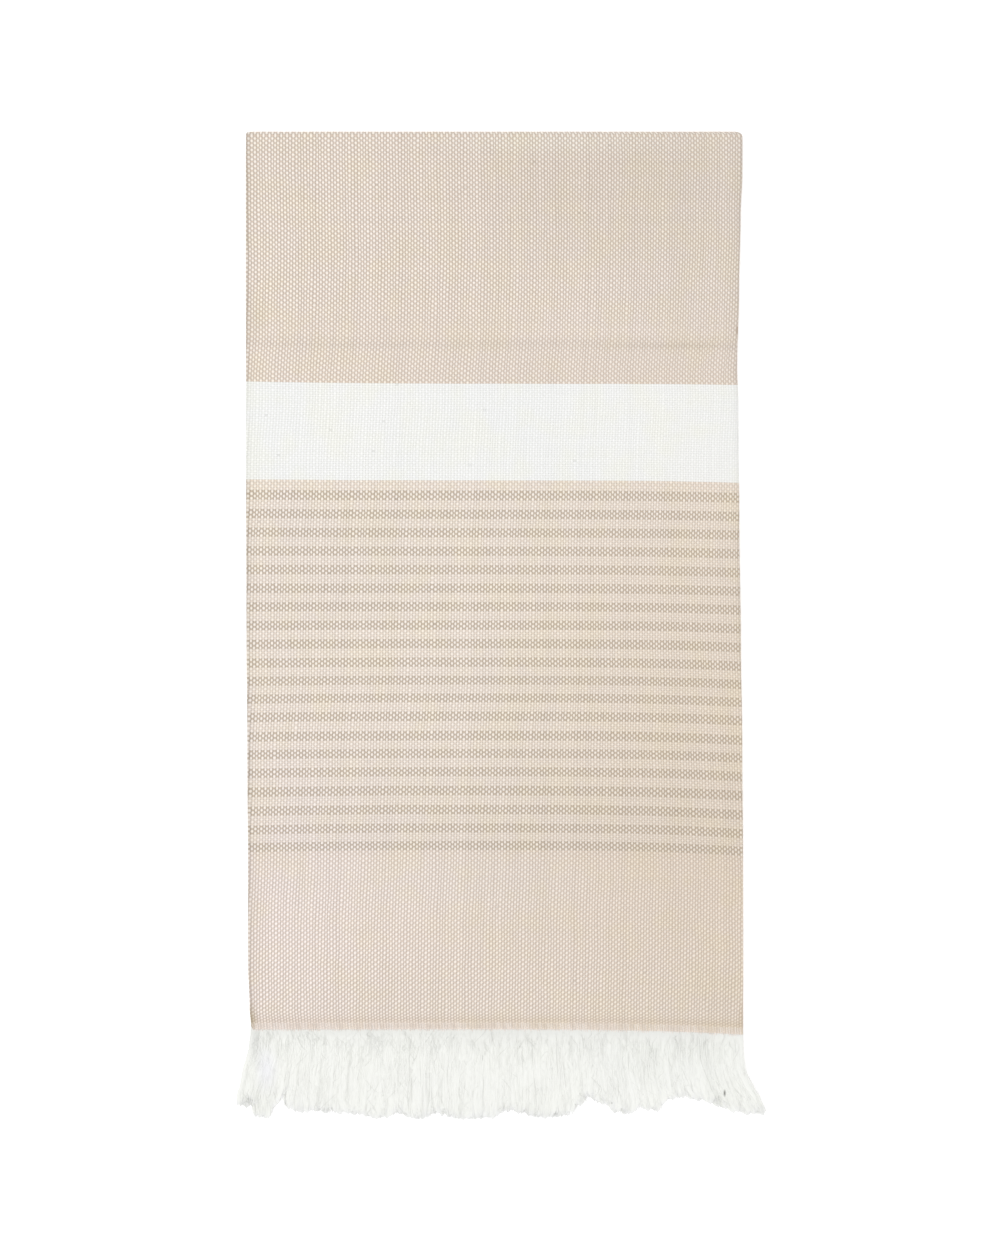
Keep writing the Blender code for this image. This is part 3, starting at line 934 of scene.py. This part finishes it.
def tufts(chance):  # where neighbouring threads draw together, how strongly, and how much longer they are
    places = []
    before, after = fringe["tuftsOver"]
    place = -before
    while place < halfWidth + after:
        places.append((place, chance.uniform(*fringe["tuftPull"]), chance.uniform(*fringe["tuftLength"])))
        place += chance.uniform(*fringe["tuftPitch"])
    return places


def nearestTuft(places, reach):
    return min(places, key=lambda each: abs(each[0] - reach))


def parted(fromFold, below):  # threads step aside from the slits
    shift = 0
    opening, closing, fading = partingEases
    for place, opens, closes, wide in partings:
        gap = wide * ease((below - opens) / opening) * ease((closes - below) / closing)
        away = fromFold - place
        shift += math.copysign(gap * math.exp(-abs(away) / fading), away)
    return shift


def onPanel(fromFold, inset):
    return min(max(fromFold, inset), panelWidth - inset)


def foldDistance(across):
    return abs(across) - sideReach - panelLeft


def strandPoint(across, shift, end, below, through):
    return lie(across + math.copysign(1, across) * shift, end * (halfLength + below), through)


def threadPath(across, end, shorter, tuft, chance):
    fromFold = foldDistance(across)
    tuftPlace, tuftPull, tuftLength = tuft
    length = lengthAt(fromFold) + tuftLength - shorter - abs(chance.gauss(0, 0.5)) * fringe["uneven"]
    isUnder = chance.random() < fringe["under"]
    layer = chance.uniform(*fringe["underLayers" if isUnder else "layers"])
    begins = -fringe["tucked"]
    if chance.random() < fringe["shorts"]:
        begins = chance.uniform(*fringe["surfacing"]) * length
        length -= chance.random() ** 3 * fringe["shortened"]
    drift = chance.gauss(0, 0.5) * fringe["wander"]
    loosen = chance.uniform(-1, 1) * fringe["loosen"]
    turn, wave = chance.uniform(0, math.tau), chance.uniform(*fringe["curls"])
    dive, dives = chance.uniform(0, math.tau), chance.uniform(*fringe["dives"])
    curl = chance.uniform(*fringe["curlShare"]) * fringe["curl"]
    halfWide, halfHigh = chance.uniform(*fringe["halfWide"]), chance.uniform(*fringe["halfHigh"])
    roll, turned = chance.gauss(0, 0.5) * fringe["roll"], chance.gauss(0, 0.5) * fringe["roll"]
    root = fringe["rootLayer"]
    path = []
    for i in range(fringe["rings"]):
        grown = i / (fringe["rings"] - 1)
        below = begins + (length - begins) * grown
        share = max(below, 0) / length
        free = ease(share * 3)
        shift = loosen * ease(share * 4) + drift * share**1.5
        shift += curl * free * math.sin(turn + wave * math.tau * share)
        shift -= (fromFold + shift - tuftPlace) * tuftPull * ease(share)
        shift += parted(fromFold, below)
        shift = onPanel(fromFold + shift, fringe["inset"]) - fromFold
        through = layer + fringe["dive"] * free * math.sin(dive + dives * math.tau * share)
        through = root + (through - root) * ease(grown * fringe["rootRise"])
        through = min(max(through, 0), 1) * cloth["thick"]
        middle = strandPoint(across, shift, end, below, through)
        tip = ease((share - fringe["tipFrom"]) / (1 - fringe["tipFrom"]))
        thin = 1 - (1 - fringe["tipWide"]) * tip
        middle.z = max(middle.z, halfWide * 0.5 + halfHigh)
        path.append((middle, halfWide * thin, halfHigh * thin, roll + turned * share))
    return path


def lockPath(across, end, shorter, tuft, chance):
    fromFold = foldDistance(across)
    tuftPlace, tuftPull, tuftLength = tuft
    length = lengthAt(fromFold) + tuftLength - shorter + chance.uniform(-1, 1) * locks["uneven"]
    layer = chance.uniform(*locks["layers"])
    drift = chance.gauss(0, 0.5) * locks["wander"]
    halfWide, halfHigh = chance.uniform(*locks["halfWide"]), chance.uniform(*locks["halfHigh"])
    roll = chance.gauss(0, 0.5) * locks["roll"]
    widest, bends = locks["bend"]
    sway, sways = locks["sway"]
    bend, turn = chance.uniform(-1, 1) * widest, chance.uniform(0, math.tau)
    path = []
    for i in range(locks["rings"]):
        grown = i / (locks["rings"] - 1)
        grown += locks["closer"] * grown * (1 - grown)
        below = length * grown - fringe["tucked"] * (1 - grown)
        shift = drift * grown**1.5 + bend * math.sin(turn + bends * grown)
        shift -= (fromFold + shift - tuftPlace) * tuftPull * locks["tuftShare"] * ease(grown)
        shift += parted(fromFold, below)
        wide = halfWide * (locks["rootWide"] + (1 - locks["rootWide"]) * ease(grown * 2))
        closing = max((grown - 1 + locks["roundTip"]) / locks["roundTip"], 0)
        wide *= math.sqrt(max(1 - closing**2, 0.0025))
        high = halfHigh * (1 - locks["tipFlat"] * grown) * math.sqrt(max(1 - closing**2, 0.04))
        shift = onPanel(fromFold + shift, wide * 0.9) - fromFold
        through = (layer + sway * math.sin(turn * 3 + sways * grown)) * cloth["thick"]
        middle = strandPoint(across, shift, end, below, through)
        middle.z = max(middle.z, high * 1.4)
        path.append((middle, wide, high, roll * grown))
    return path


def fibrePath(chance):
    across = sideReach + (halfWidth - sideReach) * chance.random() ** fibres["thinning"]
    fromFold = foldDistance(across)
    room = lengthAt(fromFold)
    length = chance.uniform(*fibres["length"])
    begins = chance.uniform(-0.0004, max(room - length * 0.8, 0.001))
    length = min(length, room - begins + 0.0008)
    slant = chance.gauss(0, 1) * fibres["slant"]
    curl, turn = chance.uniform(*fibres["curl"]), chance.uniform(0, math.tau)
    wave = chance.uniform(*fibres["curls"])
    layer = chance.uniform(*fibres["layers"])
    halfWide = chance.uniform(*fibres["halfWide"])
    path = []
    for i in range(fibres["rings"]):
        grown = i / (fibres["rings"] - 1)
        below = begins + length * grown
        shift = curl * math.sin(turn + wave * math.tau * grown)
        shift += slant * length * (grown - fibres["slantFrom"])
        shift = onPanel(fromFold + shift, fibres["inset"]) - fromFold
        through = layer + fibres["sunk"] * (1 - math.sin(math.pi * grown))
        middle = strandPoint(across, shift, 1, below, through * cloth["thick"])
        middling = math.sin(math.pi * min(max(grown, 0.06), 0.94))
        thin = fibres["tipWide"] + (1 - fibres["tipWide"]) * middling
        path.append((middle, halfWide * thin, fibres["halfHigh"] * thin, 0))
    return path


def eachRoot(chance, kind, plies):  # side of the cloth, the tufts there and distance from the fold line
    clear = sideReach * fringe["clear"]
    for side in (1, -1):
        places = tufts(chance)
        for i in range(int((halfWidth - clear) / kind["pitch"])):
            for _ in range(plies[side]):
                root = clear + kind["pitch"] * (i + 0.5) + chance.gauss(0, 0.5) * kind["spread"]
                yield side, places, min(root, halfWidth - kind["inset"])


def makeLocks(name, end, shorter, seed, material):
    chance = random.Random(seed)
    paths = []
    for side, places, root in eachRoot(chance, locks, {1: 1, -1: 1}):
        tuft = nearestTuft(places, foldDistance(root))
        paths.append(lockPath(side * root, end, shorter, tuft, chance))
    chance.shuffle(paths)
    turn = math.tau / locks["corners"]
    outline = [(math.cos(turn * i), math.sin(turn * i)) for i in range(locks["corners"])]
    piece = drawThreads(name, paths, material, outline, locks["lumps"])
    return piece


def makeFringe(name, end, shorter, plies, seed, material):
    chance = random.Random(seed)
    paths = []
    for side, places, root in eachRoot(chance, fringe, plies):
        tuft = nearestTuft(places, foldDistance(root) + chance.gauss(0, fringe["tuftMiss"]))
        paths.append(threadPath(side * root, end, shorter, tuft, chance))
    piece = drawThreads(name, paths, material)
    return piece


def makeFibres(name, seed, material):
    chance = random.Random(seed)
    piece = drawThreads(name, [fibrePath(chance) for _ in range(fibres["count"])], material)
    return piece


brushed = {
    "streaks": (dye(239, 240, 234), dye(246, 247, 242)),
    "broad": dye(242, 242, 243),
    "broadPer": 45.0,
    "broadEases": (0.3, 0.7, 0.08, 0.22),
    # painted shade, a lavender grey towards the tips
    "tip": dye(234, 234, 239),
    "tipEases": (0.88, 0.99, 0, 0.35),
    "grey": dye(227, 228, 223),
    "root": (0.0135, -0.001, 0, 0.06),  # painted shade below the hem's edge: distance below the hem, and how much darker it gets there
    "rootLine": (0.0052, 0.001, 0, 0.045),
    "bumpDepth": 0.00012,
    "bumpStrength": 0.3,
}


def brushedCotton(name, fibresAcross, fibresAlong, greyShare):
    material, shader, start = newMaterial(name, 0.95, 0.3)
    place = start.node("TexCoord", out="Object")
    course = start.attribute("course", "Vector")
    thread, along, around = (course.part(axis) for axis in "XYZ")
    streaks = start.noise(start.vector(around * fibresAcross, along * fibresAlong, thread * 3.7), 1, 3.0)
    broad = start.noise(place, brushed["broadPer"]).remap(*brushed["broadEases"])
    isGrey = start.chance(start.vector(thread.round(), 2.0, 0)) < greyShare
    colour = streaks.remap(0.25, 0.75).blend(*brushed["streaks"])
    colour = broad.blend(colour, brushed["broad"])
    # painted shade at the tips
    colour = along.remap(*brushed["tipEases"]).blend(colour, brushed["tip"])
    colour = isGrey.blend(colour, brushed["grey"])
    # painted shade just below the hem, where the roots come out of it
    belowHem = clothHigh.y - panelDown - place.part("Y")
    rootShade = belowHem.remap(*brushed["root"]) + belowHem.remap(*brushed["rootLine"])
    colour = layTones(place, (1 - rootShade).scaled(colour), brushedShadeAndTone, 1)
    return cover(material, shader, colour, streaks, brushed["bumpDepth"], brushed["bumpStrength"])


# the room
studio = {
    "floorSize": 8.0,
    "floorBelow": 0.0001,
    "floorPale": 0.97,
    "cameraHeight": 1.6,
    "floorGlow": 0.15,  # a faint light table, so that no shadow greys the paper
    "sunStrength": 1.9,
    "sunWidth": 50.0,  # degrees, as a wide soft window overhead
    "sunFrom": (-0.1, -0.08, 1),
    "skyFade": (0.15, 0.45),
    "skyHigh": 0.62,  # dimmer overhead, where the lamp is
    "skyLow": 1,  # white at the horizon, like the floor
}


def makeStudio():
    floorMesh = bmesh.new()
    bmesh.ops.create_grid(floorMesh, x_segments=1, y_segments=1, size=studio["floorSize"] / 2)
    bmesh.ops.translate(floorMesh, vec=(0, 0, -studio["floorBelow"]), verts=floorMesh.verts)
    material, shader, _ = newMaterial("pale_floor", 1, 0)
    shader.inputs["Base Color"].default_value = (studio["floorPale"],) * 3 + (1,)
    shader.inputs["Specular IOR Level"].default_value = 0
    shader.inputs["Emission Strength"].default_value = studio["floorGlow"]
    floor = addMesh("floor", floorMesh, material)

    lamp = bpy.data.lights.new("window", "SUN")
    lamp.energy = studio["sunStrength"]
    lamp.angle = math.radians(studio["sunWidth"])
    window = addObject("window", lamp)
    window.rotation_euler = Vector(studio["sunFrom"]).to_track_quat("Z", "Y").to_euler()

    world = bpy.data.worlds.new("studio")
    world.use_nodes = True
    start = Wire(world.node_tree)
    direction = start.node("TexCoord", out="Generated")
    glow = direction.part("Z").remap(*studio["skyFade"], studio["skyLow"], studio["skyHigh"])
    sky = world.node_tree.nodes["Background"]
    sky.inputs["Color"].default_value = (1, 1, 1, 1)
    world.node_tree.links.new(glow.socket, sky.inputs["Strength"])
    bpy.context.scene.world = world
    bpy.context.scene.view_settings.view_transform = "Standard"


def makeCamera():
    scale = photo["metresPerPixel"]
    across = (photo["width"] / 2 - photo["middle"][0]) * scale
    up = (photo["middle"][1] - photo["height"] / 2) * scale
    lens = bpy.data.cameras.new("camera")
    lens.sensor_width = 36.0
    lens.lens = lens.sensor_width * studio["cameraHeight"] / (photo["height"] * scale)
    camera = addObject("camera", lens)
    camera.location = (across, up, solidHigh.z + studio["cameraHeight"])
    bpy.context.scene.camera = camera


makeStudio()
makeCamera()
clothPiece = makeCloth()
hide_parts("towel_cloth")
stitchPiece = makeStitches()
strandCotton = brushedCotton("brushed_strands", 5.0, 9.0, 0.03)
lockCotton = brushedCotton("matted_locks", 9.0, 12.0, 0)
fibreCotton = brushedCotton("loose_fibres", 2.0, 4.0, 0.13)
shownFringe = makeFringe("fringe_shown_end", 1, 0, {1: 6, -1: 3}, 11, strandCotton)
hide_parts("fringe_upper_end")
hiddenFringe = makeFringe("fringe_hidden_end", -1, 0.0028, {1: 3, -1: 3}, 12, strandCotton)
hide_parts("fringe_under_end")
shownLocks = makeLocks("fringe_shown_locks", 1, 0, 13, lockCotton)
hiddenLocks = makeLocks("fringe_hidden_locks", -1, 0.0028, 14, lockCotton)
shownFibres = makeFibres("fringe_shown_fibres", 15, fibreCotton)

print("towel laid out")
